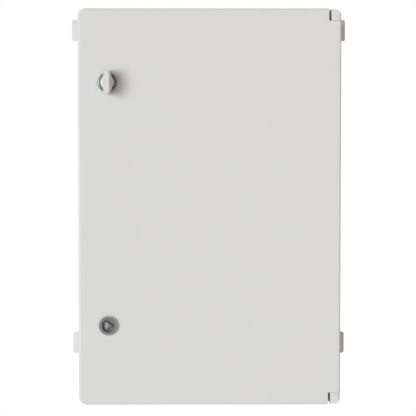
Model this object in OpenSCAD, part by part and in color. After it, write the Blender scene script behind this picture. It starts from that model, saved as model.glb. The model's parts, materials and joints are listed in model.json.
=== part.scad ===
// Wall-mounted phone charging cabinet: a folded steel case with one hinged door, a wing knob and a
// key lock, and inside it a rack of upright phone bays over a row of power equipment on a DIN rail.
// Millimetres. X runs to the right, Z up, and the front faces -Y. The wall is the plane Y = 0, and the
// origin is the centre of the four wall holes.

/* [Cabinet] */
// Width over the door
cab_w = 400; // [400:10:460]
// Height over the door
cab_h = 605; // [600:5:660]
// Depth from the wall to the door's face
cab_d = 250; // [250:5:290]
// Thickness of the folded steel sheet
sheet = 1.5; // [1.2:0.1:1.5]
// Radius of the corners, seen from the front
corner_r = 12; // [9:1:12]

/* [Door] */
// Depth of the door's folded edges
door_edge = 20; // [18:1:20]
// Outside radius of the bend round the door's face
bend_r = 3; // [2.5:0.5:4]
// Distance of the hinge axis behind the door's face and in from its side
hinge_inset = 9; // [9:0.1:9.4]
// Width of the corner notches that clear the hinge blocks
notch_w = 18.6; // [18:0.1:19]
// Height of the corner notches
notch_h = 18.6; // [17:0.1:19]

/* [Locks] */
// Distance of both locks from the door's free edge
lock_inset = 45; // [44:0.2:46]
// Distance of the knob below the door's top
knob_drop = 112; // [100:1:130]
// Distance of the key lock above the door's bottom
key_rise = 122; // [100:1:130]
// Diameter of the lock bezels
bezel_d = 30; // [30:1:33]
// Height of the wing knob from tip to tip
wing_h = 37; // [34:1:40]

/* [Wall lugs] */
// Height of each lug
lug_h = 35; // [30:1:40]
// Reach of each lug beyond the door's edge
lug_out = 25; // [24:1:30]
// Thickness of each lug
lug_t = 3; // [2.5:0.5:3]
// Distance of the upper lugs' centres below the top
lug_top = 24; // [22:1:30]
// Distance of the lower lugs' centres above the bottom
lug_bottom = 64; // [50:1:70]
// Diameter of the wall holes
wall_hole_d = 8.5; // [7:0.5:9]

/* [Phone rack] */
// Number of phone bays on each shelf
bays = 8; // [6:1:8]
// Height of the dividers
divider_h = 116; // [90:2:120]
// Vertical distance between the two shelves
shelf_pitch = 178; // [170:1:180]

/* [Hidden] */
$fn = 64;

// Colours
paint = "gainsboro";
zinc = "silver";
dark_plastic = [0.2, 0.2, 0.22];
grey_plastic = "lightgrey";
rubber = [0.15, 0.15, 0.16];

// The cabinet's centre height in the frame of the wall holes
mid_z = (lug_top - lug_bottom) / 2;

// Wall lugs and the bolts that hold them to the case
lug_inner_x = 162;
lug_corner_r = 3.5;
lug_bolt_x = 180;
lug_bolt_r = 4;
wall_hole_x = cab_w / 2 + lug_out - 13;
lug_z = [cab_h / 2 - lug_top, lug_bottom - cab_h / 2];

// Body: distances called "far" or "near" are measured from the wall
body_inset = 1.5;
body_w = cab_w - 2 * body_inset;
body_h = cab_h - 2 * body_inset;
body_r = corner_r - body_inset;
inner_w = body_w - 2 * sheet;
inner_h = body_h - 2 * sheet;
inner_r = body_r - sheet;
back = lug_t;
body_front = cab_d - door_edge - 2;
mouth_inset = 24;
mouth_w = cab_w - 2 * mouth_inset;
mouth_h = cab_h - 2 * mouth_inset;
gasket_t = 8;
lip_front = cab_d - sheet - gasket_t - 0.3;

// Hinge: the axis is vertical, at [axis_x, -axis_d]
axis_x = cab_w / 2 - hinge_inset;
axis_d = cab_d - hinge_inset;
notch_x = cab_w / 2 - notch_w;
notch_z = cab_h / 2 - notch_h;
slot_gap = 3.4;
seam_gap = 0.3;
block_inset = [0.4, 1.4];
block_corner_r = 9;
block_screw_spot = [axis_x, cab_h / 2 - notch_h / 2];
hinge_edge = 15;
pin_r = 3;
running = 0.05;

// Locks
lock_x = lock_inset - cab_w / 2;
knob_z = cab_h / 2 - knob_drop;
key_z = key_rise - cab_h / 2;
seal_t = 0.8;
bezel_back = cab_d + seal_t;
bezel_t = 4;
housing_r = 11;
knob_recess_r = 12.5;
knob_recess = bezel_back + bezel_t - 1;
lock_seal_r = 14.5;
knob_hub_r = 10;
spindle_r = 6;
spindle_end_r = 4;
cam_far = body_front - sheet - 1;
cam_t = 3;
knob_back = bezel_back + bezel_t + 0.4;
knob_len = 27.5;
key_pocket_r = 9.5;
key_pocket = cab_d - 4;
key_stud_r = 8.3;

// Interior
plate_near = 20;
plate_t = 2;
plate_far = plate_near + plate_t;
plate_size = [336, 544];
stud_spots = [for (x = [-150, 150], z = [-240, 240]) [x, z]];
stud_r = 4;
stud_washer_r = 8;
rack_half = 168;
rack_front = 206;
rack_z = [-84, 284];
shelf_near = 60;
shelf_z = [-78 + shelf_pitch, -78];
mat_t = 2;
bay_w = 2 * rack_half / bays;
bay_x = [for (i = [0:bays - 1]) bay_w * (i + 0.5) - rack_half];
bar_near = plate_far + sheet;
bar_far = 58;
bar_size = [326, 44];
bar_rise = 42;
rail_z = -165;
rail_t = 1;
rail_far = plate_far + 7.5;
device_near = rail_far;
toggle_d = 85;
toggle_r = 7;
duct_z = [-97, -248];
duct_h = [20, 28];
duct_depth = 40;
duct_w = 272;
duct_t = 2;
duct_screw_x = [-120, 120];
rail_screw_x = [-135, 135];
bar_bolt_x = [-158, 158];
bar_bolt_rise = 16;
screw_r = 2;
rack_screw_spots = [for (x = [7 - rack_half, rack_half - 7], z = [258, 200, 30, -68]) [x, z]];
rail_screw_spots = [for (x = rail_screw_x) [x, rail_z]];
duct_screw_spots = [for (x = duct_screw_x, z = duct_z) [x, z]];
bar_bolt_spots = [for (x = bar_bolt_x, z = shelf_z) [x, z + bar_rise + bar_bolt_rise]];
shelf_screw_y = [-180, -90];
shelf_screw_rise = 8;
psu_x = [-60, 32];
psu_h = 104;
psu_far = 88;
breaker_x = [-118, -82];
terminal_x = 52;
terminal_w = 7;

// Cable entry: the sizes are [width, depth], and the spots are [across, distance from the wall]
gland_open = [240, 120];
gland_plate_size = [276, 156];
gland_gasket_t = 1.5;
gland_plate_t = 2;
gland_d = 110;
gland_at = [-60, 85];
plug_at = [60, 85];
gland_screw_spots = [for (x = [-128, 0, 128], y = [-68, 68]) [x, gland_d + y]];
gland_screw_r = 2.5;
gland_plate_z = -inner_h / 2 + gland_gasket_t;
gland_hole_r = 10;

// ---- Helpers ----

// Moves the cabinet from its own centre into the frame of the wall holes
module place() translate([0, 0, mid_z]) children();

// A flat shape in X and Z, made solid between two distances from the wall
module slab(near, far) translate([0, -near, 0]) rotate([90, 0, 0]) linear_extrude(far - near) children();

// A flat shape in Y and Z, made solid between two places in X
module across(from, to) translate([from, 0, 0]) rotate([90, 0, 90]) linear_extrude(to - from) children();

// A flat shape in X and Y, made solid between two heights
module upright(from, to) translate([0, 0, from]) linear_extrude(to - from) children();

module rod(near, far, r, spot = [0, 0]) slab(near, far) translate(spot) circle(r);

module hex(near, far, across_flats, spot = [0, 0])
    slab(near, far) translate(spot) circle(across_flats / sqrt(3), $fn = 6);

module rounded_rect(w, h, r) {
    square([w - 2 * r, h], center = true);
    square([w, h - 2 * r], center = true);
    for (x = [-1, 1], y = [-1, 1])
        translate([x * (w / 2 - r), y * (h / 2 - r)]) circle(r);
}

// A pointed oval: the overlap of two circles
module lens(half_w, half_h) {
    r = (half_w * half_w + half_h * half_h) / (2 * half_w);
    intersection() {
        translate([r - half_w, 0]) circle(r, $fn = 128);
        translate([half_w - r, 0]) circle(r, $fn = 128);
    }
}

// A pan-head screw along Y. Its head stands at `seat`, and its shank runs `length` towards the wall
module pan_screw(seat, length, spot) {
    rod(seat - length, seat, screw_r, spot);
    rod(seat, seat + 1.25 * screw_r, 2 * screw_r, spot);
}

module both_sides() {
    children();
    mirror([1, 0, 0]) children();
}

module top_and_bottom() {
    children();
    mirror([0, 0, 1]) children();
}

// ---- Case ----

module body_wrap() color(paint) difference() {
    slab(back, body_front) difference() {
        rounded_rect(body_w, body_h, body_r);
        rounded_rect(inner_w, inner_h, inner_r);
    }
    gland_opening(gland_open);
    for (spot = gland_screw_spots) drill(spot, -body_h / 2, gland_screw_r);
}

// A short upright hole, for one of the sheets at the bottom
module drill(spot, low, r) translate([spot[0], -spot[1], low - 1]) cylinder(h = 4, r = r);

// The hole through the bottom wall that the gland plate covers
module gland_opening(size)
    translate([-size[0] / 2, -gland_d - size[1] / 2, -body_h / 2 - 1]) cube([size[0], size[1], 4]);

module back_panel() color(paint) slab(back, back + sheet) difference() {
    rounded_rect(inner_w, inner_h, inner_r);
    lug_bolt_spots() circle(lug_bolt_r + 0.25);
}

// The gutter and raised lip round the mouth
module front_frame() color(paint) difference() {
    union() {
        slab(body_front - sheet, body_front) rounded_rect(inner_w, inner_h, inner_r);
        slab(body_front - sheet, lip_front) rounded_rect(mouth_w + 2 * sheet, mouth_h + 2 * sheet, 3 + sheet);
    }
    slab(body_front - sheet - 1, lip_front + 1) rounded_rect(mouth_w, mouth_h, 3);
    top_and_bottom() rod(body_front - 5, body_front + 5, screw_r + 0.2, block_screw_spot);
}

module lug_bolt_spots()
    for (x = [-1, 1], z = lug_z) translate([x * lug_bolt_x, z]) children();

// One lug, for the right-hand side, centred on the height 0
module wall_lug() color(paint) slab(0, lug_t) difference() {
    tip = cab_w / 2 + lug_out;
    union() {
        translate([lug_inner_x, -lug_h / 2]) square([tip - lug_inner_x - lug_corner_r, lug_h]);
        translate([tip - 15, 0]) rounded_rect(30, lug_h, lug_corner_r);
    }
    translate([wall_hole_x, 0]) circle(wall_hole_d / 2);
    translate([lug_bolt_x, 0]) circle(lug_bolt_r);
}

module wall_lug_top_right() translate([0, 0, lug_z[0]]) wall_lug();
module wall_lug_top_left() mirror([1, 0, 0]) wall_lug_top_right();
module wall_lug_bottom_right() translate([0, 0, lug_z[1]]) wall_lug();
module wall_lug_bottom_left() mirror([1, 0, 0]) wall_lug_bottom_right();

module lug_bolts() color(zinc) {
    washer_far = back + sheet + 1.6;
    slab(0.2, washer_far) lug_bolt_spots() circle(lug_bolt_r);
    slab(back + sheet, washer_far) lug_bolt_spots() circle(2 * lug_bolt_r);
    slab(washer_far, washer_far + 5.3) lug_bolt_spots() circle(13 / sqrt(3), $fn = 6);
}

// ---- Hinges ----

// The front-right edge of each block is round, so that the notch's edge can swing past it
module hinge_block_top() color(paint) difference() {
    left = notch_x + slot_gap;
    right = cab_w / 2 - block_inset[0];
    low = notch_z + seam_gap;
    high = cab_h / 2 - block_inset[1];
    intersection() {
        slab(body_front, cab_d) {
            translate([left, low]) square([right - left, high - low - block_corner_r]);
            translate([left, low]) square([right - left - block_corner_r, high - low]);
            translate([right - block_corner_r, high - block_corner_r]) circle(block_corner_r);
        }
        upright(low, high) {
            translate([left, -cab_d + bend_r]) square([right - left, cab_d - body_front - bend_r]);
            translate([left, -cab_d]) square([right - left - bend_r, bend_r]);
            translate([right - bend_r, -cab_d + bend_r]) circle(bend_r);
        }
        translate([left, -cab_d, low]) cube([right - left, cab_d - body_front, high - low]);
    }
    translate([axis_x, -axis_d, low - 1]) cylinder(h = 15, r = pin_r);
    rod(body_front - 1, body_front + 8, screw_r, block_screw_spot);
}

module hinge_block_bottom() mirror([0, 0, 1]) hinge_block_top();

module hinge_pins() color(zinc) top_and_bottom()
    translate([axis_x, -axis_d, notch_z - 8]) cylinder(h = 8 + seam_gap + 14, r = pin_r);

module hinge_block_screws() color(zinc) top_and_bottom() translate([0, -body_front + sheet, 0])
    rotate([0, 0, 180]) mirror([1, 0, 0]) pan_screw(0, 8, block_screw_spot);

// ---- Cable entry ----

// A rectangular sheet over the opening in the bottom wall, with its screw holes
module entry_sheet(low, size, t) difference() {
    translate([-size[0] / 2, -gland_d - size[1] / 2, low]) cube([size[0], size[1], t]);
    for (spot = gland_screw_spots) drill(spot, low, gland_screw_r + 0.25);
}

module gland_plate() color(zinc) difference() {
    entry_sheet(gland_plate_z, gland_plate_size, gland_plate_t);
    for (spot = [gland_at, plug_at]) drill(spot, gland_plate_z, gland_hole_r);
}

module gland_plate_gasket() color(rubber) difference() {
    entry_sheet(-inner_h / 2, gland_plate_size - [4, 4], gland_gasket_t);
    gland_opening(gland_open + [4, 4]);
}

module gland_plate_screws() color(zinc) for (spot = gland_screw_spots)
    translate([spot[0], -spot[1], gland_plate_z + gland_plate_t]) {
        cylinder(h = 3, r = 4.5);
        translate([0, 0, -6]) cylinder(h = 6, r = gland_screw_r);
    }

// A stack of round or six-sided steps on a vertical axis in the gland plate, each [low, high, radius, sides]
module gland_steps(spot, steps, bore) translate([spot[0], -spot[1], gland_plate_z]) difference() {
    union() for (s = steps) translate([0, 0, s[0]]) cylinder(h = s[1] - s[0], r = s[2], $fn = s[3]);
    translate([0, 0, steps[0][0] - 1]) cylinder(h = steps[len(steps) - 1][1] - steps[0][0] + 2, r = bore);
}

module cable_gland_body() color(grey_plastic)
    gland_steps(gland_at, [[-13, -6, 9, 64], [-6, 0, 13, 6], [0, 12, 9.8, 64]], 7.5);

module cable_gland_seal() color(rubber) gland_steps(gland_at, [[-13, 1, 7.5, 64]], 5);

module cable_gland_nut() color(grey_plastic) difference() {
    gland_steps(gland_at, [[-20, -16, 10, 64], [-16, -6.3, 12.5, 6]], 6);
    translate([gland_at[0], -gland_at[1], gland_plate_z - 13.1]) cylinder(h = 8, r = 9.05);
}

module cable_gland_locknut() color(grey_plastic) gland_steps(gland_at, [[2, 7, 14, 6]], 9.8);

module blanking_plug() color(grey_plastic) translate([plug_at[0], -plug_at[1], gland_plate_z]) {
    translate([0, 0, -4]) cylinder(h = 4, r = 12);
    cylinder(h = 9, r = 9.8);
}

// ---- Mounting plate ----

module plate_studs() color(zinc) for (spot = stud_spots) rod(back + sheet, plate_far + 12, stud_r, spot);

module plate_spacers() color(zinc) for (spot = stud_spots) difference() {
    rod(back + sheet, plate_near, 7, spot);
    rod(back, plate_near + 1, stud_r + 0.1, spot);
}

module plate_nuts() color(zinc) for (spot = stud_spots) difference() {
    union() {
        rod(plate_far, plate_far + 1.6, stud_washer_r, spot);
        hex(plate_far + 1.6, plate_far + 8.1, 13, spot);
    }
    rod(plate_far - 1, plate_far + 9, stud_r, spot);
}

module mounting_plate() color(zinc) slab(plate_near, plate_far) difference() {
    square(plate_size, center = true);
    for (spot = stud_spots) translate(spot) circle(stud_r + 0.5);
    for (spot = concat(rack_screw_spots, rail_screw_spots, duct_screw_spots, bar_bolt_spots))
        translate(spot) circle(screw_r);
}

module earth_stud() color("goldenrod") {
    spot = [-183, -262];
    base = back + sheet;
    rod(base, base + 22, 3, spot);
    rod(base + 5, base + 6.6, 6.5, spot);
    hex(base, base + 5, 10, spot);
    hex(base + 6.6, base + 11.6, 10, spot);
}

// ---- Phone rack ----

// A side with a flange against the mounting plate. The flange is cut away round the plate's nuts
module rack_side_right() color(paint) difference() {
    flange = 14;
    slot = [8, 70];
    slot_near = 80;
    slot_rise = 54;
    upright(rack_z[0], rack_z[1]) {
        translate([rack_half, -rack_front]) square([sheet, rack_front - plate_far]);
        translate([rack_half - flange, -plate_far - sheet]) square([flange, sheet]);
    }
    slab(plate_far - 1, plate_far + sheet + 1) {
        for (spot = concat(rack_screw_spots, bar_bolt_spots)) translate(spot) circle(screw_r);
        for (spot = stud_spots) translate(spot) circle(stud_washer_r + 1.5);
    }
    for (z = shelf_z, i = [0:4])
        translate([rack_half - 1, -slot_near - slot[0] - 24 * i, z + slot_rise]) cube([sheet + 2, slot[0], slot[1]]);
    for (z = shelf_z, y = shelf_screw_y) translate([rack_half - 1, y, z + shelf_screw_rise])
        rotate([0, 90, 0]) cylinder(h = sheet + 2, r = screw_r);
}

module rack_side_left() mirror([1, 0, 0]) rack_side_right();

// The screws that hold the rack, the rail and the ducts to the mounting plate
module plate_screws() color(zinc) {
    for (spot = rack_screw_spots) pan_screw(plate_far + sheet, plate_t + sheet, spot);
    for (spot = rail_screw_spots) pan_screw(plate_far + rail_t, plate_t + rail_t, spot);
    for (spot = duct_screw_spots) pan_screw(plate_far + duct_t, plate_t + duct_t, spot);
}

// A tray with turned-up edges; its front edge is the tallest
module shelf(z) color(paint) translate([0, 0, z]) difference() {
    half = rack_half - 0.1;
    depth = rack_front - shelf_near;
    front_edge = 16;
    edge = 12;
    union() {
        translate([-half, -rack_front, 0]) cube([2 * half, depth, sheet]);
        translate([-half, -rack_front, 0]) cube([2 * half, sheet, front_edge]);
        translate([-half, -shelf_near - sheet, 0]) cube([2 * half, sheet, edge]);
        both_sides() translate([half - sheet, -rack_front, 0]) cube([sheet, depth, edge]);
    }
    both_sides() for (y = shelf_screw_y)
        translate([half - 3, y, shelf_screw_rise]) rotate([0, 90, 0]) cylinder(h = 6, r = screw_r);
}

module shelf_upper() shelf(shelf_z[0]);
module shelf_lower() shelf(shelf_z[1]);

module shelf_screws() color(zinc) both_sides() for (z = shelf_z, y = shelf_screw_y)
    translate([rack_half + sheet, y, z + shelf_screw_rise]) rotate([0, 90, 0]) {
        cylinder(h = 2.2, r = 2 * screw_r);
        translate([0, 0, -sheet - 1]) cylinder(h = sheet + 1, r = screw_r);
    }

// Each divider has a rounded top corner at the front
module divider(x, z) translate([0, 0, z]) across(x - sheet / 2, x + sheet / 2) {
    near = -shelf_near - 6;
    far = -rack_front + 8;
    corner = 34;
    translate([far, 0]) square([near - far, divider_h - corner]);
    translate([far + corner, 0]) square([near - far - corner, divider_h]);
    translate([far + corner, divider_h - corner]) circle(corner);
}

module shelf_dividers() color(paint) for (z = shelf_z, i = [1:bays - 1])
    divider(bay_w * i - rack_half, z + sheet + mat_t);

module shelf_mats() color(rubber) for (z = shelf_z)
    translate([-164, -rack_front + 3, z + sheet]) cube([328, rack_front - shelf_near - 7, mat_t]);

// ---- Chargers ----

module port_spots() for (x = bay_x) translate([x, -6]) children();
module lens_spots() for (x = bay_x) translate([x, 9]) children();

module charger_bar(z) color(dark_plastic) translate([0, 0, z + bar_rise]) difference() {
    slab(bar_near, bar_far) rounded_rect(bar_size[0], bar_size[1], 4);
    slab(bar_far - 12, bar_far + 1) port_spots() square([13.6, 6.2], center = true);
    slab(bar_far - 5, bar_far + 1) lens_spots() circle(1.6);
    slab(bar_near - 1, bar_far + 1) for (x = bar_bolt_x) translate([x, bar_bolt_rise]) circle(screw_r);
}

module charger_bar_upper() charger_bar(shelf_z[0]);
module charger_bar_lower() charger_bar(shelf_z[1]);

// Long screws through each bar, the rack's flange and the mounting plate
module charger_bar_screws() color(zinc) for (spot = bar_bolt_spots)
    pan_screw(bar_far, bar_far - plate_near, spot);

// The metal shell of each socket and the tongue inside it
module usb_ports() color(zinc) for (z = shelf_z) translate([0, 0, z + bar_rise]) {
    slab(bar_far - 12, bar_far + 0.3) port_spots() difference() {
        square([13.2, 5.8], center = true);
        square([12.4, 5], center = true);
    }
    slab(bar_far - 12, bar_far - 1) port_spots() translate([0, 0.9]) square([11, 1.8], center = true);
}

module status_lenses() color("limegreen") for (z = shelf_z) translate([0, 0, z + bar_rise])
    slab(bar_far - 5, bar_far + 0.8) lens_spots() circle(1.55);

// ---- Power equipment ----

module din_rail() color(zinc) difference() {
    rail_section();
    slab(plate_far - 1, plate_far + rail_t + 1) for (spot = rail_screw_spots) translate(spot) circle(screw_r);
}

module rail_section() across(-150, 150) for (side = [-1, 1]) translate([0, rail_z]) {
    translate([-plate_far - rail_t, -13.5]) square([rail_t, 27]);
    translate([-rail_far, side * 13 - 0.5]) square([rail_far - plate_far, rail_t]);
    translate([-rail_far, side * 15.25 - 2.25]) square([rail_t, 4.5]);
}

// A metal case with cooling slots, and a recess for its terminals at the bottom
module power_supply() color("lightslategrey") difference() {
    low = rail_z - psu_h / 2;
    w = psu_x[1] - psu_x[0];
    translate([psu_x[0], -psu_far, low]) cube([w, psu_far - device_near, psu_h]);
    for (i = [0:9]) translate([psu_x[0] + 8 + 8 * i, -psu_far - 1, low + 32]) cube([4, 4, 56]);
    translate([psu_x[0] + 6, -psu_far - 1, low + 4]) cube([w - 12, 11, 14]);
}

module circuit_breaker() color("whitesmoke") difference() {
    slot_x = breaker_x + [3.6, -3.6];
    slot_w = slot_x[1] - slot_x[0];
    across(breaker_x[0], breaker_x[1]) translate([0, rail_z]) {
        translate([-74, -42]) square([74 - device_near, 84]);
        translate([-90, -22.5]) square([16.5, 45]);
    }
    translate([slot_x[0], -toggle_d, rail_z]) rotate([0, 90, 0]) cylinder(h = slot_w, r = toggle_r + 0.3);
    translate([slot_x[0], -91, rail_z - 10]) cube([slot_w, 7, 20]);
}

// The lever is up at rest and swings down about its own drum
module breaker_toggle() color(dark_plastic) {
    drum_w = breaker_x[1] - breaker_x[0] - 8;
    translate([breaker_x[0] + 4, -toggle_d, rail_z]) {
        rotate([0, 90, 0]) cylinder(h = drum_w, r = toggle_r);
        rotate([-35, 0, 0]) translate([4, -17, -2.5]) cube([drum_w - 8, 12, 5]);
    }
}

// Eight terminals side by side, each with a screw well above and below
module terminal_blocks() color("lightsteelblue") for (i = [0:7])
    translate([terminal_x + terminal_w * i, -device_near, rail_z]) difference() {
        w = terminal_w - 0.2;
        depth = 38;
        translate([0, -depth, -24]) cube([w, depth, 48]);
        for (side = [-1, 1]) translate([w / 2, -depth - 1, side * 15]) rotate([-90, 0, 0]) cylinder(h = 8, r = 2);
    }

module duct_slots(h) {
    gaps = 12;
    slot_w = 6;
    margin = 10;
    pitch = (duct_w - 2 * margin - slot_w) / gaps;
    for (i = [0:gaps])
        translate([margin - duct_w / 2 + pitch * i, -plate_far - duct_depth - 1, -h / 2 - 1])
            cube([slot_w, duct_depth - 8, h + 2]);
}

module cable_ducts() color(grey_plastic) for (i = [0, 1]) translate([0, 0, duct_z[i]]) difference() {
    h = duct_h[i];
    translate([-duct_w / 2, -plate_far - duct_depth, -h / 2]) cube([duct_w, duct_depth, h]);
    translate([-duct_w / 2 - 1, -plate_far - duct_depth - 1, duct_t - h / 2])
        cube([duct_w + 2, duct_depth + 1 - duct_t, h - 2 * duct_t]);
    duct_slots(h);
    slab(plate_far - 1, plate_far + duct_t + 1) for (x = duct_screw_x) translate([x, 0]) circle(screw_r);
}

module duct_covers() color(grey_plastic) for (i = [0, 1])
    translate([-duct_w / 2, -plate_far - duct_depth - duct_t, duct_z[i] - duct_h[i] / 2])
        cube([duct_w, duct_t, duct_h[i]]);

// ---- Door ----

// The folded edge in section. X is the distance behind the door's face, and Y is outwards from its edge
module edge_section(depth) {
    intersection() {
        translate([bend_r, -bend_r]) difference() {
            circle(bend_r);
            circle(bend_r - sheet);
        }
        translate([0, -bend_r]) square(bend_r);
    }
    translate([bend_r, -sheet]) square([depth - bend_r, sheet]);
}

module upper_edge(from, to) across(from, to) translate([-cab_d, cab_h / 2]) edge_section(door_edge);

module free_edge(half) rotate([0, -90, 0])
    across(-half, half) translate([-cab_d, cab_w / 2]) edge_section(door_edge);

module hinge_side_edge(half) mirror([1, 0, 0]) rotate([0, -90, 0])
    across(-half, half) translate([-cab_d, cab_w / 2]) edge_section(hinge_edge);

module upper_left_corner() translate([corner_r - cab_w / 2, -cab_d, cab_h / 2 - corner_r])
    rotate([-90, 0, 0]) rotate([0, 0, 180])
        rotate_extrude(angle = 90) translate([corner_r, 0]) mirror([1, -1, 0]) edge_section(door_edge);

module door_face() slab(cab_d - sheet, cab_d) difference() {
    rounded_rect(cab_w - 2 * bend_r, cab_h - 2 * bend_r, corner_r - bend_r);
    for (low = [notch_z, -cab_h / 2]) translate([notch_x, low]) square([notch_w, notch_h]);
}

module door_panel() color(paint) difference() {
    relief = 2.8;
    union() {
        door_face();
        free_edge(cab_h / 2 - corner_r);
        hinge_side_edge(notch_z);
        top_and_bottom() {
            upper_edge(corner_r - cab_w / 2, notch_x);
            upper_left_corner();
        }
    }
    top_and_bottom() translate([notch_x - relief, -cab_d + sheet, cab_h / 2 - bend_r - 0.5])
        cube([relief + 1, door_edge, bend_r + 1]);
    for (z = [knob_z, key_z]) rod(cab_d - 5, cab_d + 5, housing_r + 0.3, [lock_x, z]);
}

// A foam strip, centred on the lip
module door_gasket() color(rubber) slab(cab_d - sheet - gasket_t, cab_d - sheet) difference() {
    band = 10;
    rounded_rect(mouth_w + sheet + band, mouth_h + sheet + band, 7);
    rounded_rect(mouth_w + sheet - band, mouth_h + sheet - band, 3);
}

// Two upright channels with rows of holes
module door_rails() color(paint) both_sides() difference() {
    left = 110;
    w = 24;
    rail_h = 480;
    depth = 14;
    translate([left, -cab_d + sheet, -rail_h / 2]) cube([w, depth, rail_h]);
    translate([left + sheet, -cab_d + sheet - 1, -rail_h / 2 - 1])
        cube([w - 2 * sheet, depth + 1 - sheet, rail_h + 2]);
    for (i = [-9:9]) rod(cab_d - sheet - depth - 1, cab_d - sheet - depth + 3, 2.5, [left + w / 2, 25 * i]);
}

// Each bracket is an arm with the pin's bore, and a leg welded to the door's folded edge
module door_hinge_brackets() color(zinc) top_and_bottom() difference() {
    inner = cab_w / 2 - sheet;
    left = inner - 14.5;
    top = notch_z - 0.9;
    arm_t = 3;
    leg_h = 28;
    union() {
        translate([left, -cab_d + bend_r, top - arm_t]) cube([inner - left, 13, arm_t]);
        translate([inner - 2, -cab_d + bend_r + 1, top - arm_t - leg_h + 1]) cube([2, 10, leg_h]);
    }
    translate([axis_x, -axis_d, top - arm_t - 1]) cylinder(h = arm_t + 2, r = pin_r + running);
}

module hinge_washers() color("ivory") top_and_bottom()
    translate([axis_x, -axis_d, notch_z - 0.8]) difference() {
        cylinder(h = 0.7 + seam_gap, r = 5.5);
        translate([0, 0, -1]) cylinder(h = 4, r = pin_r + running);
    }

// A plastic tray on the inside of the door, open at the top
module document_pocket() color(grey_plastic) translate([-95, 0, -60]) difference() {
    far = cab_d - sheet;
    w = 200;
    t = 2;
    depth = 21;
    union() {
        slab(far - t, far) square([w, 150]);
        slab(far - depth, far) square([w, 112]);
    }
    slab(far - depth + t, far - t) translate([t, t]) square([w - 2 * t, 160]);
}

// ---- Locks ----

module at_knob() translate([lock_x, 0, knob_z]) children();
module at_key() translate([lock_x, 0, key_z]) children();

module lock_seals() color(rubber) for (z = [knob_z, key_z]) translate([lock_x, 0, z]) difference() {
    rod(cab_d, bezel_back, lock_seal_r);
    rod(cab_d - 1, bezel_back + 1, housing_r);
}

module lock_nuts() color(zinc) for (z = [knob_z, key_z]) translate([lock_x, 0, z]) difference() {
    hex(cab_d - sheet - 5, cab_d - sheet, 26);
    rod(cab_d - 10, cab_d, housing_r);
}

module knob_housing() color("darkgrey") at_knob() difference() {
    union() {
        rod(bezel_back, bezel_back + bezel_t, bezel_d / 2);
        rod(cam_far + 0.5, bezel_back, housing_r);
    }
    rod(knob_recess, bezel_back + bezel_t + 1, knob_recess_r);
    rod(cam_far, knob_recess + 1, spindle_r + running);
}

module key_housing() color("grey") at_key() difference() {
    union() {
        translate([0, -bezel_back, 0]) rotate([90, 0, 0])
            cylinder(h = bezel_t, r1 = bezel_d / 2, r2 = bezel_d / 2 - 2);
        rod(cam_far + 0.5, bezel_back, housing_r);
    }
    rod(key_pocket, bezel_back + bezel_t + 1, key_pocket_r);
    rod(cam_far, key_pocket + 1, spindle_r + running);
}

// The arm points straight down at rest, clear of the lip, and the bolt behind holds it on the spindle
module cam() {
    reach = 36;
    difference() {
        slab(cam_far - cam_t, cam_far) {
            circle(9);
            translate([-8, -reach + 8]) square([16, reach - 8]);
            translate([0, -reach + 8]) circle(8);
        }
        rod(cam_far - cam_t - 1, cam_far + 1, spindle_end_r);
    }
    rod(cam_far - cam_t - 1, cam_far - cam_t, 6);
    hex(cam_far - cam_t - 4, cam_far - cam_t - 1, 9);
}

module spindle(far) {
    rod(cam_far, far, spindle_r);
    rod(cam_far - cam_t, cam_far, spindle_end_r);
}

module wing_knob() color("whitesmoke") at_knob() difference() {
    union() {
        rod(knob_back, knob_back + 8, knob_hub_r);
        hull() {
            slab(knob_back, knob_back + 1) lens(7.2, wing_h / 2);
            slab(knob_back + knob_len - 1, knob_back + knob_len) lens(2.6, wing_h / 2 - 1.5);
        }
    }
    rod(knob_back - 1, knob_back + 7, spindle_end_r);
}

module knob_spindle() color(zinc) at_knob() {
    spindle(knob_back);
    rod(knob_back, knob_back + 7, spindle_end_r);
}

module knob_cam() color(zinc) at_knob() cam();

// A three-sided stud on a disc, at the bottom of the lock's round pocket
module key_core() color("dimgrey") at_key() {
    disc_far = key_pocket + 2.5;
    spindle(key_pocket + 0.2);
    rod(key_pocket + 0.2, disc_far, key_pocket_r - 0.15);
    slab(disc_far, bezel_back + bezel_t - 1) circle(key_stud_r, $fn = 3);
}

module key_cam() color(zinc) at_key() cam();

// ---- Nodes ----

place() body_wrap();
place() back_panel();
place() front_frame();
place() wall_lug_top_left();
place() wall_lug_top_right();
place() wall_lug_bottom_left();
place() wall_lug_bottom_right();
place() lug_bolts();
place() hinge_block_top();
place() hinge_block_bottom();
place() hinge_pins();
place() hinge_block_screws();
place() gland_plate();
place() gland_plate_gasket();
place() gland_plate_screws();
place() cable_gland_body();
place() cable_gland_seal();
place() cable_gland_nut();
place() cable_gland_locknut();
place() blanking_plug();
place() plate_studs();
place() plate_spacers();
place() plate_nuts();
place() mounting_plate();
place() earth_stud();
place() rack_side_left();
place() rack_side_right();
place() plate_screws();
place() shelf_upper();
place() shelf_lower();
place() shelf_screws();
place() shelf_dividers();
place() shelf_mats();
place() charger_bar_upper();
place() charger_bar_lower();
place() charger_bar_screws();
place() usb_ports();
place() status_lenses();
place() din_rail();
place() power_supply();
place() circuit_breaker();
place() terminal_blocks();
place() cable_ducts();
place() duct_covers();
place() door_panel();
place() door_gasket();
place() door_rails();
place() door_hinge_brackets();
place() hinge_washers();
place() document_pocket();
place() lock_seals();
place() lock_nuts();
place() knob_housing();
place() key_housing();
place() wing_knob();
place() knob_spindle();
place() knob_cam();
place() key_core();
place() key_cam();
place() breaker_toggle();
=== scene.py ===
import json
import math

import bmesh
import bpy
from mathutils import Matrix, Vector


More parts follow.
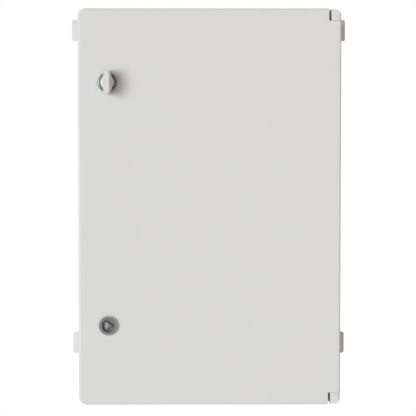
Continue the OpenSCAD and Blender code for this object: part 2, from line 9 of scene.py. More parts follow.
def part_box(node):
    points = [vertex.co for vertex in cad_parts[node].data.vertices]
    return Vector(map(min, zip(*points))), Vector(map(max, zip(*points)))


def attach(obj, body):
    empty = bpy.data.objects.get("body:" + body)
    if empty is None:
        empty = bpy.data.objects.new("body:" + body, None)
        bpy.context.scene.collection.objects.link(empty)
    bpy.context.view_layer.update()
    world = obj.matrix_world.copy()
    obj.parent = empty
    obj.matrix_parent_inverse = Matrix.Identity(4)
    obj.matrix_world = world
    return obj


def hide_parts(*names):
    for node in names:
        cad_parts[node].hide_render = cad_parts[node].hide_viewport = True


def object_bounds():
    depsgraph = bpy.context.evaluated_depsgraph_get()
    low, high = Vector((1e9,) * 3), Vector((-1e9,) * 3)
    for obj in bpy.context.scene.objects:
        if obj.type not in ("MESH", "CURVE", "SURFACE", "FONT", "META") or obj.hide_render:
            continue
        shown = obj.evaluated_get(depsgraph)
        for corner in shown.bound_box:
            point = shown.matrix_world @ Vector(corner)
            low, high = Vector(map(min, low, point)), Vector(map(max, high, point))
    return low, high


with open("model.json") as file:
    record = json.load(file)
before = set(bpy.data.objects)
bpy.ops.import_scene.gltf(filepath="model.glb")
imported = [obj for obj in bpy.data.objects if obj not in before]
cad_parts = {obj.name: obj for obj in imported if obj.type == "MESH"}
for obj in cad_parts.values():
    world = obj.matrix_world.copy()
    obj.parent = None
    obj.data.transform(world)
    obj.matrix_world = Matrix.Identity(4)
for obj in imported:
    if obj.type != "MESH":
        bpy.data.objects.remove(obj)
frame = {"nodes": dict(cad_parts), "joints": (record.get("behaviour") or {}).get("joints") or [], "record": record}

MM = 0.001
CAD_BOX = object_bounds()
FRONT, BACK = Vector((0, -1, 0)), Vector((0, 1, 0))
UP, DOWN = Vector((0, 0, 1)), Vector((0, 0, -1))
RIGHT, LEFT = Vector((1, 0, 0)), Vector((-1, 0, 0))
SLOT_OF = {part["node"]: part["material_slot"] for part in frame["record"]["subparts"]}
BODY_OF = {node: body for body, nodes in frame["record"]["behaviour"]["bodies"].items() for node in nodes}


# ---- Places read from the frame, in millimetres ----

def box_mm(node):
    low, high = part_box(node)
    return low / MM, high / MM


def solids(node):
    """The box of each separate solid in a node, from the lowest and leftmost on."""
    bm = bmesh.new()
    bm.from_mesh(frame["nodes"][node].data)
    bmesh.ops.remove_doubles(bm, verts=bm.verts, dist=1e-6)
    left, found = set(bm.verts), []
    while left:
        group, edge = set(), [left.pop()]
        while edge:
            v = edge.pop()
            group.add(v)
            for other in (e.other_vert(v) for e in v.link_edges):
                if other in left:
                    left.remove(other)
                    edge.append(other)
        points = [v.co / MM for v in group]
        low = Vector([min(p[k] for p in points) for k in range(3)])
        high = Vector([max(p[k] for p in points) for k in range(3)])
        found.append((low, high))
    bm.free()
    return sorted(found, key=lambda b: [round(x, 2) for x in (b[0].z, b[0].x, b[0].y)])


def on_axis(low, high, y=0):
    """The point at depth y on the line from front to back through the middle of a box."""
    return Vector(((low.x + high.x) / 2, y, (low.z + high.z) / 2))


def towards(direction, at):
    """A matrix that takes local Z to a direction and local zero to a point."""
    return Matrix.Translation(at) @ direction.to_track_quat("Z", "Y").to_matrix().to_4x4()


# ---- Meshes ----

def flats_radius(turn, flats, sides):
    step = 2 * math.pi / sides
    return flats / math.cos((turn + step / 2) % step - step / 2)


class Shape:
    """Closed shells gathered in one mesh, in millimetres."""

    def __init__(self):
        self.bm = bmesh.new()

    def rings(self, rings, close=False):
        """Joins rings of points into one skin, capped at both ends unless it closes on itself."""
        made = [[self.bm.verts.new(p) for p in ring] for ring in rings]
        pairs = list(zip(made, made[1:])) + ([(made[-1], made[0])] if close else [])
        for a, b in pairs:
            for i in range(len(a)):
                j = (i + 1) % len(a)
                self.bm.faces.new((a[i], a[j], b[j], b[i]))
        if not close:
            self.bm.faces.new(made[0][::-1])
            self.bm.faces.new(made[-1])
        return self

    def turned(self, profile, matrix, segments=48, sides=6, offset=0.0, hollow=False):
        """A turned shape. Each entry is (radius, height) or (radius, height, distance of its flats)."""
        rings = []
        for entry in profile:
            ring = []
            for i in range(segments):
                turn = 2 * math.pi * i / segments + offset
                r = entry[0]
                if len(entry) > 2:
                    r = min(r, flats_radius(turn - offset, entry[2], sides))
                ring.append(matrix @ Vector((r * math.cos(turn), r * math.sin(turn), entry[1])))
            rings.append(ring)
        return self.rings(rings, close=hollow)

    def thread(self, radius, low, high, pitch, matrix, segments=28):
        """A screw thread with the V cut into the radius, plain and tapered at its two ends."""
        depth, steps = 0.55 * pitch, 6
        count = int((high - low) / pitch * steps)
        rings = []
        for k in range(count + 1):
            height = low + (high - low) * k / count
            fade = min(1.0, (height - low) / pitch, (high - height) / pitch)
            ring = []
            for i in range(segments):
                turn = 2 * math.pi * i / segments
                phase = (height / pitch - i / segments) % 1.0
                r = radius - depth * abs(2 * phase - 1) * 0.9 * max(fade, 0.0) - 0.3 * (1 - fade)
                ring.append(matrix @ Vector((r * math.cos(turn), r * math.sin(turn), height)))
            rings.append(ring)
        return self.rings(rings)

    def block(self, low, high, bevel=0.5, segments=2, matrix=None):
        size, mid = Vector(high) - Vector(low), (Vector(high) + Vector(low)) / 2
        place = Matrix.Translation(mid) @ Matrix.Diagonal((*size, 1))
        cube = bmesh.ops.create_cube(self.bm, size=1, matrix=place)["verts"]
        edges = {e for v in cube for e in v.link_edges}
        made = set(cube)
        if bevel:
            out = bmesh.ops.bevel(self.bm, geom=list(edges), offset=bevel, segments=segments, profile=0.5,
                                  affect="EDGES", clamp_overlap=True)
            made = {v for f in out["faces"] for v in f.verts}
        if matrix is not None:
            bmesh.ops.transform(self.bm, matrix=matrix, verts=[v for v in made if v.is_valid])
        return self

    def piece(self, name, paint, body, slot, stands_for=(), sharp=32):
        """Closes the mesh, puts it in the scene in metres, and sets it riding."""
        bmesh.ops.recalc_face_normals(self.bm, faces=self.bm.faces)
        bmesh.ops.scale(self.bm, vec=(MM, MM, MM), verts=self.bm.verts)
        mesh = bpy.data.meshes.new(name)
        self.bm.to_mesh(mesh)
        self.bm.free()
        mesh.materials.append(paint)
        mesh.shade_smooth()
        mesh.set_sharp_from_angle(angle=math.radians(sharp))
        obj = bpy.data.objects.new(name, mesh)
        bpy.context.scene.collection.objects.link(obj)
        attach(obj, body)
        if stands_for:
            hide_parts(*stands_for)
        return obj


def stand_in(shape, node, paint, sharp=32):
    """A finished piece in place of the CAD node of the same name."""
    return shape.piece(node + "_finished", paint, BODY_OF[node], SLOT_OF[node], (node,), sharp)


# ---- Materials ----

def surface(name, colour, rough, metal=0.0, grain=1.0, bump=0.02, tint=0.03, spread=0.06,
            stretch=(1, 1, 1), coat=0.0, cells=0.0, broad=45.0):
    """A finish whose colour, roughness and relief all vary.

    `grain` and `bump` are the relief's pitch and height in millimetres. `broad` is the pitch of the colour's
    drift. `stretch` draws both out along an axis, and `cells` mixes in a crystalline or foamed pattern.
    """
    mat = bpy.data.materials.new(name)
    mat.use_nodes = True
    nodes, links = mat.node_tree.nodes, mat.node_tree.links
    shader = nodes["Principled BSDF"]
    shader.inputs["Metallic"].default_value = metal
    shader.inputs["Coat Weight"].default_value = coat
    shader.inputs["Coat Roughness"].default_value = 0.25
    coords = nodes.new("ShaderNodeTexCoord")
    mapping = nodes.new("ShaderNodeMapping")
    mapping.inputs["Scale"].default_value = stretch
    links.new(coords.outputs["Object"], mapping.inputs["Vector"])

    def noise(scale, detail):
        made = nodes.new("ShaderNodeTexNoise")
        made.inputs["Scale"].default_value = scale
        made.inputs["Detail"].default_value = detail
        links.new(mapping.outputs["Vector"], made.inputs["Vector"])
        return made.outputs["Fac"]

    def ranged(value, low, high):
        made = nodes.new("ShaderNodeMapRange")
        made.inputs["From Min"].default_value = 0.3
        made.inputs["From Max"].default_value = 0.7
        made.inputs["To Min"].default_value = low
        made.inputs["To Max"].default_value = high
        links.new(value, made.inputs["Value"])
        return made.outputs["Result"]

    fine, wide = noise(1 / (grain * MM), 3.0), noise(1 / (broad * MM), 4.0)
    mixed = nodes.new("ShaderNodeMix")
    mixed.data_type = "RGBA"
    mixed.inputs["A"].default_value = [c * (1 - tint) for c in colour] + [1]
    mixed.inputs["B"].default_value = [min(c * (1 + tint), 1) for c in colour] + [1]
    pattern = wide
    if cells:
        cell = nodes.new("ShaderNodeTexVoronoi")
        cell.inputs["Scale"].default_value = 1 / (cells * MM)
        links.new(mapping.outputs["Vector"], cell.inputs["Vector"])
        blend = nodes.new("ShaderNodeMix")
        blend.inputs["Factor"].default_value = 0.5
        links.new(wide, blend.inputs["A"])
        links.new(cell.outputs["Distance"], blend.inputs["B"])
        pattern = blend.outputs["Result"]
    links.new(ranged(pattern, 0.0, 1.0), mixed.inputs["Factor"])
    links.new(mixed.outputs["Result"], shader.inputs["Base Color"])
    links.new(ranged(fine, rough - spread, rough + spread), shader.inputs["Roughness"])
    relief = nodes.new("ShaderNodeBump")
    relief.inputs["Strength"].default_value = 1.0
    relief.inputs["Distance"].default_value = bump * MM
    links.new(fine, relief.inputs["Height"])
    links.new(relief.outputs["Normal"], shader.inputs["Normal"])
    return mat


PAINT = surface("powder_coat", (0.690, 0.690, 0.685), 0.5, grain=1.1, bump=0.012, tint=0.006, spread=0.05)
ZINC = surface("zinc_plate", (0.66, 0.67, 0.68), 0.34, metal=1.0, grain=0.9, bump=0.006, tint=0.07,
               spread=0.09, cells=6.0)
SCREW = surface("zinc_screw", (0.60, 0.61, 0.62), 0.3, metal=1.0, grain=0.5, bump=0.004, tint=0.08,
                spread=0.08)
STEEL = surface("brushed_steel", (0.62, 0.62, 0.62), 0.36, metal=1.0, grain=0.35, bump=0.005, tint=0.04,
                stretch=(1, 1, 0.06))
DIE_CAST = surface("lock_zinc", (0.255, 0.255, 0.26), 0.48, metal=0.75, grain=0.6, bump=0.008, tint=0.05)
DARK_CAST = surface("bezel_zinc", (0.245, 0.24, 0.235), 0.46, metal=0.82, grain=0.6, bump=0.006, tint=0.06)
# A lighter copy of the lock metal for the key bezel's edge: a painted highlight standing in for the light its
# bevel catches.
PAINTED_HIGHLIGHT_RIM = surface("bezel_edge_painted_highlight", (0.50, 0.50, 0.50), 0.42, metal=0.35, grain=0.6, bump=0.006, tint=0.05)
KNOB = surface("knob_grey", (0.70, 0.70, 0.695), 0.42, grain=0.7, bump=0.008, tint=0.01)
BRASS = surface("brass", (0.78, 0.60, 0.28), 0.3, metal=1.0, grain=0.5, bump=0.004, tint=0.08, spread=0.1)
RUBBER = surface("rubber", (0.030, 0.030, 0.033), 0.72, grain=0.5, bump=0.02, tint=0.15, spread=0.08)
FOAM = surface("gasket_foam", (0.055, 0.055, 0.06), 0.86, grain=0.45, bump=0.05, tint=0.2, cells=0.7)
BLACK = surface("black_plastic", (0.028, 0.028, 0.031), 0.46, grain=0.35, bump=0.012, tint=0.08)
GREY = surface("grey_plastic", (0.47, 0.48, 0.49), 0.48, grain=0.4, bump=0.01, tint=0.02)
PALE = surface("pale_plastic", (0.78, 0.78, 0.75), 0.36, grain=0.5, bump=0.006, tint=0.015, coat=0.2)
ALLOY = surface("anodised_case", (0.56, 0.58, 0.60), 0.38, metal=0.9, grain=0.3, bump=0.006, tint=0.03,
                stretch=(1, 1, 0.05))
LENS = surface("green_lens", (0.05, 0.55, 0.16), 0.16, grain=1.0, bump=0.003, tint=0.1, coat=0.8)

FINISH = {"grey_paint": PAINT, "zinc": ZINC, "knob_metal": KNOB, "lock_metal": DIE_CAST, "brass": BRASS,
          "black_rubber": RUBBER, "black_plastic": BLACK, "grey_plastic": GREY, "pale_plastic": PALE,
          "green_lens": LENS, "case_metal": ALLOY}


def finish_cad_nodes(bevel=0.25):
    """Gives every CAD node its material and takes the knife edge off its corners."""
    for node, obj in frame["nodes"].items():
        obj.data.materials.clear()
        obj.data.materials.append(FINISH[SLOT_OF[node]])
        edge = obj.modifiers.new("edge", "BEVEL")
        edge.width = bevel * MM
        edge.segments = 2
        edge.limit_method = "ANGLE"
        edge.angle_limit = math.radians(40)
        edge.harden_normals = False


# ---- Locks ----

def wing_half_width(v, half_height, half_width, bluntness):
    return half_width * max(0.0, 1 - abs(v / half_height) ** bluntness)


def polar_wing(turn, half_height, half_width, bluntness):
    """Distance from the middle of the wing to its outline, found by halving."""
    s, c = abs(math.sin(turn)), abs(math.cos(turn))
    low, high = 0.0, half_height + half_width
    for _ in range(32):
        mid = (low + high) / 2
        within = mid * s < wing_half_width(mid * c, half_height, half_width, bluntness)
        inside = mid * c < half_height and within
        low, high = (mid, high) if inside else (low, mid)
    return low


def knob_turns(per_quarter=20):
    """Angles from the wing's tip, closer together near the tips, where the outline turns most."""
    quarter = [math.pi / 2 * (i / per_quarter) ** 1.7 for i in range(per_quarter)]
    half = quarter + [math.pi - a for a in reversed(quarter[1:])]
    half.insert(per_quarter, math.pi / 2)
    return half + [math.pi + a for a in half]


def make_knob():
    """A flat-faced hub with a wing across it. The wing narrows to the front, where its tips turn down."""
    low, high = box_mm("wing_knob")
    length, tall = high.y - low.y, (high.z - low.z) / 2
    base = on_axis(low, high, high.y)
    hub, shoulder, fillet = (high.x - low.x) / 2, 8.0, 1.0
    foot_h, foot_cut = 0.5, 0.35
    wing_w, wing_taper, wing_lean = 6.6, 2.7, 0.6
    edge, edge_cut = 27.1, 0.3
    tip_h, tip_drop = 6, 0.8
    blend = 12
    levels = [0.0, foot_h, 1.2, 3, 5, 6.5, 7.0, 7.3, 7.6, 7.8, 7.93, shoulder,
              8.1, 9, 11.5, 14, 17, 20, 23, 25, 26.2, edge, length]
    rings = []
    for w in levels:
        t = w / length
        chamfer = max(0.0, (w - edge) / (length - edge)) * edge_cut
        width, height = wing_w - wing_taper * t - chamfer, tall - wing_lean * t - chamfer
        turned_in = min(1.0, max(0.0, (w - (shoulder - fillet)) / fillet))
        swell = hub - fillet + fillet * math.sqrt(1 - turned_in ** 2) if w <= shoulder else 0.01
        foot = foot_cut * max(0.0, 1 - w / foot_h)
        ring = []
        for turn in knob_turns():
            wing = polar_wing(turn, height, width, 6.0 + 1.2 * t)
            r = (wing ** blend + swell ** blend) ** (1 / blend) - foot
            drop = tip_drop * abs(math.cos(turn)) ** 8 * max(0.0, (w - (length - tip_h)) / tip_h) ** 2
            ring.append(base + Vector((r * math.sin(turn), drop - w, r * math.cos(turn))))
        rings.append(ring)
    stand_in(Shape().rings(rings), "wing_knob", KNOB, sharp=24)


BEZEL_T = 4                  # from the bezel's front face to its back
BORE, BARREL = 6.05, 11.0    # radii of a lock's bore and of its barrel


def bezel_sizes(node):
    """The point on a lock's axis, its bezel's radius, and where its front and its barrel's end stand."""
    low, high = box_mm(node)
    return on_axis(low, high), (high.x - low.x) / 2, -low.y, -high.y


def make_bezel_edge(name, at, r, front):
    """The rolled edge round a bezel, in a lighter copy of the lock metal: a painted highlight where its bevel
    catches the light.
    """
    inner, rim = r - 1.3, front - BEZEL_T
    profile = [(inner - 0.2, front - 0.35), (inner + 0.1, front - 0.35), (inner + 0.5, front - 0.9),
               (r - 0.3, front - 1.9), (r, front - 2.5), (r, rim + 0.3), (r - 0.3, rim), (inner - 0.2, rim)]
    shape = Shape().turned(profile, towards(FRONT, at), segments=96, hollow=True)
    shape.piece(name, PAINTED_HIGHLIGHT_RIM, "door", "lock_metal")


def make_knob_bezel():
    """A shallow recess, and a rim that slopes enough to catch the light on its left."""
    at, r, front, back = bezel_sizes("knob_housing")
    recess, floor, rim = 12.4, front - 1.0, front - BEZEL_T
    profile = [(BORE, floor), (recess - 0.3, floor), (recess, floor + 0.2), (recess, front - 0.2),
               (recess + 0.2, front), (r - 0.6, front - 0.7), (r - 0.2, front - 1.1), (r, front - 1.8),
               (r, rim + 0.3), (r - 0.3, rim), (BARREL, rim), (BARREL - 0.1, back), (BORE, back)]
    shape = Shape().turned(profile, towards(FRONT, at), segments=96, hollow=True)
    stand_in(shape, "knob_housing", DARK_CAST, sharp=20)


def make_key_bezel():
    """A face with a fine groove in it, round the deep pocket of the key."""
    at, r, front, back = bezel_sizes("key_housing")
    pocket, floor = 9.5, front - 8.8
    groove, groove_h = 11.3, front - 0.25
    body, rim = r - 1.5, front - BEZEL_T
    profile = [(BORE, floor), (pocket, floor), (pocket, front - 0.35), (pocket + 0.35, front),
               (groove, front), (groove + 0.2, groove_h), (groove + 0.7, groove_h), (groove + 0.9, front),
               (13.1, front), (body, front - 0.3), (body, rim), (BARREL, rim), (BARREL - 0.1, back),
               (BORE, back)]
    shape = Shape().turned(profile, towards(FRONT, at), segments=96, hollow=True)
    stand_in(shape, "key_housing", DIE_CAST)
    make_bezel_edge("key_bezel_edge", at, r, front)


def make_key_core():
    """The three-sided stud on its disc, with the spindle behind."""
    low, high = box_mm("key_core")
    at = on_axis(low, high)
    front, back = -low.y, -high.y
    disc, r = front - 5.3, (high.x - low.x) / 2
    spindle, end = 6.0, 4.0
    under = disc - 2.3
    profile = [(end - 0.02, back), (end, back + 0.1), (end, back + 3), (spindle, back + 3),
               (spindle, under), (r, under), (r, disc - 0.25), (r - 0.25, disc)]
    shape = Shape().turned(profile, towards(FRONT, at), segments=72)
    stud = 8.3
    flat = stud / 2
    shape.turned([(stud * 0.93, disc - 0.2, flat), (stud * 0.93, front - 0.5, flat),
                  (stud * 0.88, front - 0.1, flat - 0.35), (stud * 0.8, front, flat - 0.6)],
                 towards(FRONT, at), segments=72, sides=3, offset=math.pi / 3)
    stand_in(shape, "key_core", DIE_CAST)


def make_lock_nuts():
    nuts, hole, corner = Shape(), BARREL + 0.05, 15.1
    for low, high in solids("lock_nuts"):
        near, far, flat = -high.y, -low.y, (high.z - low.z) / 2
        profile = [(hole, near), (14.0, near, flat), (corner, near + 0.7, flat), (corner, far - 0.4, flat),
                   (14.4, far, flat), (hole, far)]
        nuts.turned(profile, towards(FRONT, on_axis(low, high)), segments=72, offset=math.pi / 6, hollow=True)
    stand_in(nuts, "lock_nuts", ZINC)


# ---- Fasteners ----

M8_R, M8_PITCH, M8_FLAT = 4.0, 1.25, 6.5    # radius, pitch, and half the size across a nut's flats


def pan_screw(shape, low, high, direction, pitch=0.7):
    """A pan-head screw with a hexagon socket, filling the box of its CAD solid."""
    axis = max(range(3), key=lambda k: abs(direction[k]))
    sign = 1 if direction[axis] > 0 else -1
    mid = (low + high) / 2
    across = [high[k] - low[k] for k in range(3) if k != axis]
    head, length = max(across) / 2, high[axis] - low[axis]
    at = mid.copy()
    at[axis] = low[axis] if sign > 0 else high[axis]
    cap, socket = head * 0.625, head * 0.42
    seat, corner = length - cap, socket * 1.18
    matrix = towards(direction, at)
    profile = [(head * 0.97, seat), (head, seat + cap * 0.12), (head * 0.99, seat + cap * 0.4),
               (head * 0.90, seat + cap * 0.75), (head * 0.74, seat + cap * 0.95), (head * 0.62, length),
               (socket * 1.3, length), (corner, length - 0.12, socket),
               (corner, length - cap * 0.75, socket), (0.05, length - cap * 0.8)]
    shape.turned(profile, matrix, segments=36)
    shape.thread(head * 0.5, 0.0, seat + 0.1, pitch, matrix, segments=16)


def make_screws():
    facing = {"plate_screws": FRONT, "charger_bar_screws": FRONT, "gland_plate_screws": UP}
    for node, direction in facing.items():
        shape = Shape()
        for low, high in solids(node):
            pan_screw(shape, low, high, direction)
        stand_in(shape, node, SCREW)
    shelf = Shape()
    for low, high in solids("shelf_screws"):
        pan_screw(shelf, low, high, RIGHT if low.x > 0 else LEFT)
    stand_in(shelf, "shelf_screws", SCREW)
    hinge = Shape()
    for low, high in solids("hinge_block_screws"):
        pan_screw(hinge, low, high, BACK)
    stand_in(hinge, "hinge_block_screws", SCREW)


def hex_nut(shape, flat, bore, low, high, matrix, segments=48):
    corner, face = flat / math.cos(math.pi / 6), flat * 0.97
    profile = [(bore, low), (face, low), (corner, low + 0.55, flat), (corner, high - 0.55, flat),
               (face, high), (bore + 0.4, high), (bore, high - 0.4)]
    shape.turned(profile, matrix, segments=segments, hollow=True)


def washer(shape, radius, bore, low, high, matrix):
    shape.turned([(bore, low), (radius - 0.15, low), (radius, low + 0.15), (radius, high - 0.15),
                  (radius - 0.15, high), (bore, high)], matrix, segments=48, hollow=True)


def make_plate_studs():
    studs, nuts = Shape(), Shape()
    for low, high in solids("plate_studs"):
        matrix = towards(FRONT, on_axis(low, high, high.y))
        studs.thread((high.x - low.x) / 2, 0.0, high.y - low.y, M8_PITCH, matrix)
    stand_in(studs, "plate_studs", ZINC)
    washer_t = 1.6
    for low, high in solids("plate_nuts"):
        matrix = towards(FRONT, on_axis(low, high, high.y))
        washer(nuts, (high.x - low.x) / 2, M8_R + 0.05, 0.0, washer_t, matrix)
        hex_nut(nuts, M8_FLAT, M8_R, washer_t, high.y - low.y, matrix)
    stand_in(nuts, "plate_nuts", ZINC)


def make_lug_bolts():
    """Bolts whose rear end has a socket, each with a nut on a washer at its front end."""
    bolts = Shape()
    socket, washer_t, nut_t = 2.0, 1.6, 5.3
    for low, high in solids("lug_bolts"):
        matrix, depth = towards(FRONT, on_axis(low, high, high.y)), high.y - low.y
        seat = depth - nut_t
        rear = [(0.05, 1.6), (socket, 1.5, socket), (2.3, 0.1, socket), (2.5, 0.0), (3.8, 0.0), (M8_R, 0.25),
                (M8_R, 4.6)]
        bolts.turned(rear, matrix, segments=36)
        washer(bolts, (high.x - low.x) / 2, M8_R - 0.1, seat - washer_t, seat, matrix)
        hex_nut(bolts, M8_FLAT, M8_R, seat, depth - 0.05, matrix)
        bolts.thread(M8_R, 4.5, depth, M8_PITCH, matrix)
    stand_in(bolts, "lug_bolts", ZINC)


def make_earth_stud():
    """A stud with a nut, a washer to clamp the lead, and a second nut."""
    low, high = box_mm("earth_stud")
    matrix, shape = towards(FRONT, on_axis(low, high, high.y)), Shape()
    r, flat, nut_t, washer_t = 3.0, 5.0, 5.0, 1.6
    shape.thread(r, 0.0, high.y - low.y, 1.0, matrix)
    hex_nut(shape, flat, r, 0.0, nut_t, matrix)
    washer(shape, 6.5, r, nut_t, nut_t + washer_t, matrix)
    hex_nut(shape, flat, r, nut_t + washer_t, 2 * nut_t + washer_t, matrix)
    stand_in(shape, "earth_stud", BRASS)


# ---- Cable entry ----

def upward(node, axis_node):
    """A matrix that takes local Z up, from a node's lower end, on the axis of the same or another node."""
    low, high = box_mm(axis_node)
    mid, foot = (low + high) / 2, box_mm(node)[0].z
    return towards(UP, Vector((mid.x, mid.y, foot)))


def make_gland():
    """The dome nut, the body with its hexagon and the locknut inside the case."""
    low, high = box_mm("cable_gland_nut")
    mid, end = (low + high) / 2, high.z - low.z
    matrix = towards(DOWN, Vector((mid.x, mid.y, high.z)))
    profile = [(9.08, 0.0), (12.2, 0.0, 10.6), (12.5, 0.5, 10.8), (12.5, end - 5.2, 10.8),
               (11.4, end - 4.0), (10.6, end - 2.2), (9.0, end - 0.5), (7.8, end),
               (6.0, end), (6.0, end - 4.4), (9.08, end - 6.5)]
    stand_in(Shape().turned(profile, matrix, segments=96, hollow=True), "cable_gland_nut", GREY)
    matrix = upward("cable_gland_body", "cable_gland_nut")
    profile = [(7.5, 0.0), (8.7, 0.0), (9.0, 0.4), (9.0, 6.9), (12.4, 7.0, 10.9), (13.0, 7.5, 11.25),
               (13.0, 12.5, 11.25), (12.4, 13.0, 10.9), (9.8, 13.05), (9.8, 24.5), (9.3, 25.0), (7.5, 25.0)]
    stand_in(Shape().turned(profile, matrix, segments=96, hollow=True), "cable_gland_body", GREY)
    low, high = box_mm("cable_gland_locknut")
    locknut, matrix = Shape(), upward("cable_gland_locknut", "cable_gland_nut")
    hex_nut(locknut, (high.y - low.y) / 2, 9.8, 0.0, high.z - low.z, matrix, segments=72)
    stand_in(locknut, "cable_gland_locknut", GREY)


def make_gland_seal():
    """A sleeve with two grooves in its bore."""
    r, bore, groove = 7.5, 5.0, 5.25
    profile = [(5.6, 0.0), (r - 0.2, 0.0), (r, 0.3), (r, 13.7), (r - 0.2, 14.0), (5.4, 14.0), (bore, 13.4),
               (bore, 9.0), (groove, 8.6), (bore, 8.2), (bore, 5.0), (groove, 4.6), (bore, 4.2), (bore, 0.6)]
    matrix = upward("cable_gland_seal", "cable_gland_nut")
    stand_in(Shape().turned(profile, matrix, segments=64, hollow=True), "cable_gland_seal", RUBBER)


def make_plug():
    """A blanking plug with a shallow dimple in its face."""
    profile = [(2.0, 0.9), (3.0, 0.9), (3.4, 0.5), (9.5, 0.25), (10.2, 0.0), (11.2, 0.3), (11.8, 1.1),
               (12.0, 2.2), (12.0, 4.0), (9.8, 4.0), (9.8, 12.4), (9.2, 13.0)]
    matrix = upward("blanking_plug", "blanking_plug")
    stand_in(Shape().turned(profile, matrix, segments=72), "blanking_plug", GREY)


# ---- Door ----

def rounded_path(half_w, half_h, radius, per_corner=8):
    """Points and outward directions round a rectangle with round corners."""
    path = []
    for k, (sx, sz) in enumerate(((1, 1), (-1, 1), (-1, -1), (1, -1))):
        centre = Vector((sx * (half_w - radius), 0, sz * (half_h - radius)))
        for i in range(per_corner + 1):
            turn = math.pi / 2 * (k + i / per_corner)
            out = Vector((math.cos(turn), 0, math.sin(turn)))
            path.append((centre + out * radius, out))
    return path


def make_gasket():
    """A foam strip with a domed face and a shallow groove where the lip has pressed."""
    low, high = box_mm("door_gasket")
    mid, depth = (low + high) / 2, high.y - low.y
    half, tall, corner = 5.0, 8.0, 6.0      # the section is drawn 8 mm tall and scaled to the node's depth
    section = [(-half, 0.0), (-half, 3.0), (-4.6, 5.6), (-3.4, 7.2), (-1.9, 7.9), (-1.1, 7.4), (0.0, 7.1),
               (1.1, 7.4), (1.9, 7.9), (3.4, 7.2), (4.6, 5.6), (half, 3.0), (half, 0.0)]
    rings = []
    for point, out in rounded_path((high.x - low.x) / 2 - half, (high.z - low.z) / 2 - half, corner):
        at = Vector((mid.x, low.y, mid.z)) + point
        rings.append([at + out * u + BACK * (v * depth / tall) for u, v in section])
    stand_in(Shape().rings(rings, close=True), "door_gasket", FOAM)


# ---- Inside ----

def make_mats():
    """Ribbed rubber mats: each rib runs from front to back."""
    shape, ribs, foot = Shape(), 82, 1.1
    for low, high in solids("shelf_mats"):
        pitch, valley, crest = (high.x - low.x) / ribs, low.z + foot, high.z
        outline = [(low.x, low.z), (low.x, valley)]
        for i in range(ribs):
            x = low.x + pitch * i
            rise = [(x + pitch * 0.15, valley), (x + pitch * 0.3, crest - 0.1), (x + pitch * 0.4, crest)]
            fall = [(x + pitch * 0.6, crest), (x + pitch * 0.7, crest - 0.1), (x + pitch * 0.85, valley)]
            outline += rise + fall
        outline += [(high.x, valley), (high.x, low.z)]
        shape.rings([[Vector((x, y, z)) for x, z in outline] for y in (low.y, high.y)])
    stand_in(shape, "shelf_mats", RUBBER)


def rounded_outline(w, h, r, per_corner=5):
    return [(p.x, p.z) for p, _ in rounded_path(w / 2, h / 2, r, per_corner)]


def make_ports():
    """Sockets with a folded shell, a tongue and four contacts."""
    shells, tongues, contacts = Shape(), Shape(), Shape()
    least = 4       # mm, taller than the tongues and lower than the shells
    walls, pitch, half_tongue = 0.7, 2.3, 5.5
    for low, high in [b for b in solids("usb_ports") if b[1].z - b[0].z > least]:
        mid, near, far = (low + high) / 2, high.y, low.y
        w, h = high.x - low.x, high.z - low.z
        outer, inner = rounded_outline(w, h, 0.9), rounded_outline(w - walls, h - walls, 0.6)
        ring = [[Vector((mid.x + x, y, mid.z + z)) for x, z in line]
                for line, y in ((outer, near), (outer, far), (inner, far), (inner, near))]
        shells.rings(ring, close=True)
        tongues.block((mid.x - half_tongue, far + 1.3, mid.z + 0.02),
                      (mid.x + half_tongue, near, mid.z + 1.78), 0.15)
        for k in (-1.5, -0.5, 0.5, 1.5):
            x = mid.x + pitch * k
            contacts.block((x - 0.5, far + 1.9, mid.z - 0.12), (x + 0.5, near - 1, mid.z + 0.1), 0.05)
    stand_in(shells, "usb_ports", STEEL)
    tongues.piece("usb_tongues", BLACK, "cabinet", "black_plastic")
    contacts.piece("usb_contacts", BRASS, "cabinet", "brass")


def make_lenses():
    """Small domed lenses."""
    shape = Shape()
    for low, high in solids("status_lenses"):
        r, depth = (high.x - low.x) / 2, high.y - low.y
        profile = [(r, 0.0), (r, depth - 0.8), (r * 0.94, depth - 0.45), (r * 0.7, depth - 0.14),
                   (r * 0.35, depth)]
        shape.turned(profile, towards(FRONT, on_axis(low, high, high.y)), segments=24)
    stand_in(shape, "status_lenses", LENS)


def make_toggle():
    """The lever's grip, its drum and the ribs for a finger."""
    low, high = box_mm("breaker_toggle")
    joint = next(j for j in frame["joints"] if j["name"] == "breaker_toggle")
    axis = Vector(joint["pos_m"]) / MM
    r, edge, lean = 7.0, 6.4, -35
    ribs, pitch, tip = 5, 1.9, -15.6
    profile = [(edge, low.x + 0.05), (r, low.x + 0.5), (r, high.x - 0.5), (edge, high.x - 0.05)]
    drum = Shape().turned(profile, towards(RIGHT, Vector((0, axis.y, axis.z))), segments=48)
    tilt = Matrix.Translation(axis) @ Matrix.Rotation(math.radians(lean), 4, "X")
    drum.block((-10, -17, -2.4), (10, -4, 2.4), 0.9, 3, tilt)
    for k in range(ribs):
        y = tip + pitch * k
        drum.block((-8.8, y, -2.5), (8.8, y + 0.8, 2.5), 0.25, 2, tilt)
    stand_in(drum, "breaker_toggle", BLACK)


def socket_screw(shape, at, radius, depth, slot_width=0.9):
    """A flat screw with a slot, down a hole that faces the front."""
    shape.turned([(radius * 0.2, -depth), (radius * 0.97, -depth), (radius, -0.2), (radius * 0.85, 0.0)],
                 towards(FRONT, at), segments=24)
    shape.block((at.x - radius * 0.8, at.y - 0.05, at.z - slot_width / 2),
                (at.x + radius * 0.8, at.y - 0.03, at.z + slot_width / 2), 0)


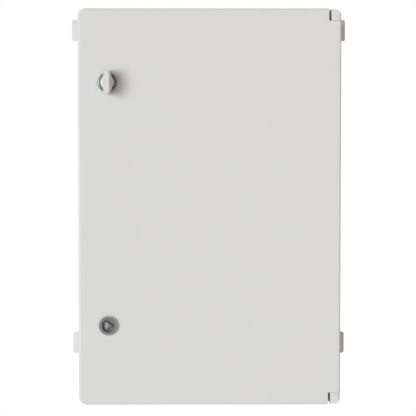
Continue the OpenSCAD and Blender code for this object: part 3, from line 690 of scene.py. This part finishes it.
def make_power_details():
    """The power supply's terminal strip and lamp, and the screws of all the devices on the rail."""
    low, high = box_mm("power_supply")
    screws, strip = Shape(), Shape()
    base, terminals, pitch = low.z + 4, 7, 11
    strip.block((low.x + 6.5, low.y + 1.5, base), (high.x - 6.5, low.y + 10.8, base + 13.5), 0.6)
    for i in range(terminals):
        x = low.x + 13 + pitch * i
        strip.block((x + 5.1, low.y + 0.4, base + 0.5), (x + 5.9, low.y + 3, base + 13), 0.2)
        socket_screw(screws, Vector((x, low.y + 1.2, base + 6.7)), 2.7, 1.5)
    strip.piece("power_terminal_strip", BLACK, "cabinet", "black_plastic")
    lamp_at = Vector((high.x - 9, low.y, high.z - 12))
    lamp = Shape().turned([(1.5, -1.0), (1.5, -0.2), (1.2, 0.0)], towards(FRONT, lamp_at), segments=24)
    lamp.piece("power_lamp", LENS, "cabinet", "green_lens")
    low, high = box_mm("circuit_breaker")
    for end in (1, -1):
        for side in (-1, 1):
            x = (low.x + high.x) / 2 + side * 9
            z = (low.z + high.z) / 2 + end * 32
            socket_screw(screws, Vector((x, low.y + 16.3, z)), 3.2, 1.0)
    for low, high in solids("terminal_blocks"):
        mid = (low + high) / 2
        for side in (-1, 1):
            socket_screw(screws, Vector((mid.x, low.y + 2.5, mid.z + side * 15)), 1.9, 3.0, 0.6)
    screws.piece("terminal_screws", SCREW, "cabinet", "zinc")


# ---- Stage ----

def make_stage(size=14.0, drop=3.5):
    """A pale floor, in metres, far enough down to leave the views from below clear."""
    bpy.ops.mesh.primitive_plane_add(size=size, location=(0, 0, CAD_BOX[0].z - drop))
    floor = bpy.context.object
    floor.name = "floor"
    floor.data.materials.append(surface("floor", (0.86, 0.90, 0.96), 0.8, grain=2.0, bump=0.01, tint=0.01))


def make_world(ambient=(0.437, 0.392, 0.342)):
    """A studio whose backdrop shows as white and fills the shadows with less, and warmer, light."""
    world = bpy.data.worlds.new("studio")
    bpy.context.scene.world = world
    world.use_nodes = True
    nodes, links = world.node_tree.nodes, world.node_tree.links
    path = nodes.new("ShaderNodeLightPath")
    shown = nodes.new("ShaderNodeMix")
    shown.data_type = "RGBA"
    shown.inputs["A"].default_value = (*ambient, 1)
    shown.inputs["B"].default_value = (1, 1, 1, 1)
    links.new(path.outputs["Is Camera Ray"], shown.inputs["Factor"])
    links.new(shown.outputs["Result"], nodes["Background"].inputs["Color"])


def make_sun(name, direction, strength, softness, colour=(1, 1, 1)):
    """A light that comes from a direction. `softness` is the width of its disc, in radians."""
    data = bpy.data.lights.new(name, "SUN")
    data.energy, data.angle, data.color = strength, softness, colour
    obj = bpy.data.objects.new(name, data)
    bpy.context.scene.collection.objects.link(obj)
    obj.rotation_mode = "QUATERNION"
    obj.rotation_quaternion = Vector(direction).to_track_quat("Z", "Y")


def make_camera(distance=2.8, offset=(-0.017, 0.16), frame_width=0.6328, nudge=(-0.0024, -0.0005)):
    """Faces the door from a little above and left of it, in metres.

    `frame_width` is how much of the door's plane the picture spans, and `nudge` moves the point looked at.
    """
    door_low, door_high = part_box("door_panel")
    middle = (door_low + door_high) / 2
    aim = Vector((middle.x + nudge[0], door_low.y, middle.z + nudge[1]))
    data = bpy.data.cameras.new("camera")
    data.sensor_width = 36.0
    data.lens = data.sensor_width * distance / frame_width
    data.clip_end = 100.0
    camera = bpy.data.objects.new("camera", data)
    bpy.context.scene.collection.objects.link(camera)
    camera.location = aim + Vector((offset[0], -distance, offset[1]))
    camera.rotation_mode = "QUATERNION"
    camera.rotation_quaternion = (camera.location - aim).to_track_quat("Z", "Y")
    bpy.context.scene.camera = camera


bpy.context.scene.view_settings.view_transform = "Standard"
make_camera()
make_world()
make_sun("key", (-0.78, -1.0, 0.07), strength=2.19, softness=0.55, colour=(0.945, 1.0, 1.075))
make_sun("side", (1.0, -0.05, 0.1), strength=0.35, softness=0.6, colour=(1.0, 0.97, 0.94))
make_sun("rear", (-0.3, 1.0, 0.8), strength=0.8, softness=0.6)
make_stage()
finish_cad_nodes()
make_knob()
make_knob_bezel()
make_key_bezel()
make_key_core()
make_lock_nuts()
make_screws()
make_plate_studs()
make_lug_bolts()
make_earth_stud()
make_gland()
make_gland_seal()
make_plug()
make_gasket()
make_mats()
make_ports()
make_lenses()
make_toggle()
make_power_details()
